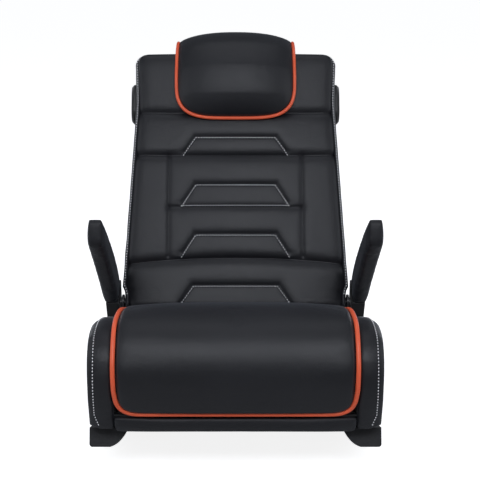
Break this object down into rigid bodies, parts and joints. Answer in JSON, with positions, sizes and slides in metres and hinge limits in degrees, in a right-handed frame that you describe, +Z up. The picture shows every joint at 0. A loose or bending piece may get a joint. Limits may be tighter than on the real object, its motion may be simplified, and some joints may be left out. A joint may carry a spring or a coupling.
{
  "type": "gaming rocker chair",
  "caption": "Legless floor rocker chair with a fold-down padded backrest, strapped headrest pillow, flip-up arms, built-in speakers and a curved base.",
  "frame": {"origin": "on the floor, under the middle of the chair's box", "axes": "+Z up, -Y the way the sitter faces, +X to the sitter's left"},
  "size_m": [0.606, 0.8633, 0.7725],
  "materials": {
    "black_leather": "satin",
    "orange_piping": "satin",
    "black_steel": "satin",
    "zinc_steel": "satin",
    "webbing": "matte",
    "foam": "matte",
    "black_plastic": "matte",
    "gloss_plastic": "gloss",
    "board": "matte",
    "speaker_cone": "matte",
    "aluminium": "satin"
  },
  "bodies": {
    "seat": {"amplifier": "aluminium", "arm_bolt_left": "zinc_steel", "arm_bolt_right": "zinc_steel", "audio_jacks": "zinc_steel", "base_pan": "board", "control_housing": "black_plastic", "faceplate": "gloss_plastic", "lower_driver_left": "speaker_cone", "lower_driver_right": "speaker_cone", "lower_grille_left": "black_plastic", "lower_grille_right": "black_plastic", "power_switch": "black_plastic", "rail_screws": "zinc_steel", "rear_board": "board", "rocker_rail_left": "black_plastic", "rocker_rail_right": "black_plastic", "seat_bolster_left": "black_leather", "seat_bolster_right": "black_leather", "seat_frame": "black_steel", "seat_front_skirt": "black_leather", "seat_pad": "black_leather", "seat_piping": "orange_piping", "seat_webbing": "webbing", "side_panel_left": "black_leather", "side_panel_right": "black_leather"},
    "backrest": {"back_frame": "black_steel", "back_webbing": "webbing", "back_foam": "foam", "back_cover": "black_leather", "top_band": "black_leather", "shoulder_panel": "black_leather", "centre_upper_panel": "black_leather", "centre_lower_panel": "black_leather", "wing_panel_left": "black_leather", "wing_panel_right": "black_leather", "lumbar_panel": "black_leather", "headrest_pillow": "black_leather", "headrest_piping": "orange_piping", "upper_driver_left": "speaker_cone", "upper_driver_right": "speaker_cone", "upper_grille_left": "black_plastic", "upper_grille_right": "black_plastic", "woofer_box": "board", "woofer_driver": "speaker_cone", "woofer_grille": "black_plastic", "hinge_bolt_left": "zinc_steel", "hinge_bolt_right": "zinc_steel"},
    "arm_right": {"arm_core_right": "black_plastic", "arm_pad_right": "black_leather"},
    "arm_left": {"arm_core_left": "black_plastic", "arm_pad_left": "black_leather"},
    "volume_knob": {"volume_knob": "black_plastic"},
    "bass_knob": {"bass_knob": "black_plastic"},
    "treble_knob": {"treble_knob": "black_plastic"},
    "power_button": {"power_button": "black_plastic"}
  },
  "joints": [
    {"name": "backrest_fold", "type": "hinge", "parent": "seat", "child": "backrest", "pos_m": [0, 0.08455, 0.194], "axis": [1, 0, 0], "range_deg": [0, 80]},
    {"name": "arm_right_lift", "type": "hinge", "parent": "seat", "child": "arm_right", "pos_m": [0.282, 0.11655, 0.11042], "axis": [-1, 0, 0], "range_deg": [0, 65]},
    {"name": "arm_left_lift", "type": "hinge", "parent": "seat", "child": "arm_left", "pos_m": [-0.282, 0.11655, 0.11042], "axis": [-1, 0, 0], "range_deg": [0, 65]},
    {"name": "volume_turn", "type": "hinge", "parent": "seat", "child": "volume_knob", "pos_m": [-0.2903, -0.15345, 0.12], "axis": [-1, 0, 0], "range_deg": [-140, 140]},
    {"name": "bass_turn", "type": "hinge", "parent": "seat", "child": "bass_knob", "pos_m": [-0.2903, -0.11745, 0.12], "axis": [-1, 0, 0], "range_deg": [-140, 140]},
    {"name": "treble_turn", "type": "hinge", "parent": "seat", "child": "treble_knob", "pos_m": [-0.2903, -0.08145, 0.12], "axis": [-1, 0, 0], "range_deg": [-140, 140]},
    {"name": "power_press", "type": "slide", "parent": "seat", "child": "power_button", "axis": [1, 0, 0], "range_m": [0, 0.0025], "stiffness_N_per_m": 400, "springref_m": -0.001}
  ]
}
